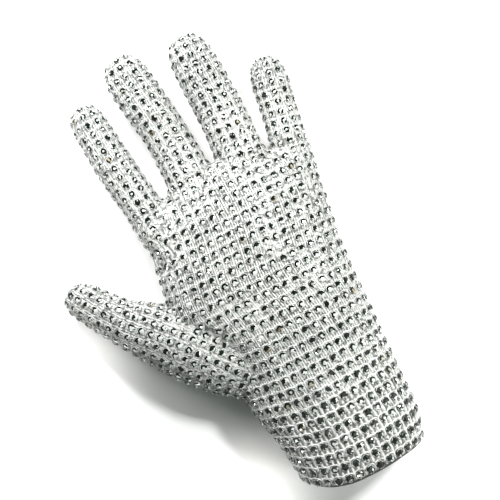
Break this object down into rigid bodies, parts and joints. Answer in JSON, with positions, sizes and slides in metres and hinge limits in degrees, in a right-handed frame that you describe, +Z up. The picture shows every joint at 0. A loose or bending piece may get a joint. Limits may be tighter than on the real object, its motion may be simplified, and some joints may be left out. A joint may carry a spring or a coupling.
{
  "type": "sequin glove",
  "caption": "Knitted dress glove for a right hand, filled out and lying back up, covered all over with rows of small round cut stones.",
  "frame": {"origin": "on the surface that the glove lies on, under the middle of its bounding box", "axes": "+Y along the hand from the wrist edge to the fingertips, +X towards the little finger's side, +Z up out of the back of the hand"},
  "size_m": [0.1584, 0.2464, 0.0449],
  "materials": {
    "stoned_knit": "light silver-grey fine knit with bright threads",
    "edge_yarn": "dark brownish bound edge, matt",
    "cut_stones": "clear foil-backed cut stones in thin bright rims"
  },
  "bodies": {
    "root": {"hand_shell": "stoned_knit", "index_finger": "stoned_knit", "middle_finger": "stoned_knit", "ring_finger": "stoned_knit", "little_finger": "stoned_knit", "thumb": "stoned_knit", "cuff_edge": "edge_yarn", "cuff_stone_field": "cut_stones"}
  },
  "joints": []
}
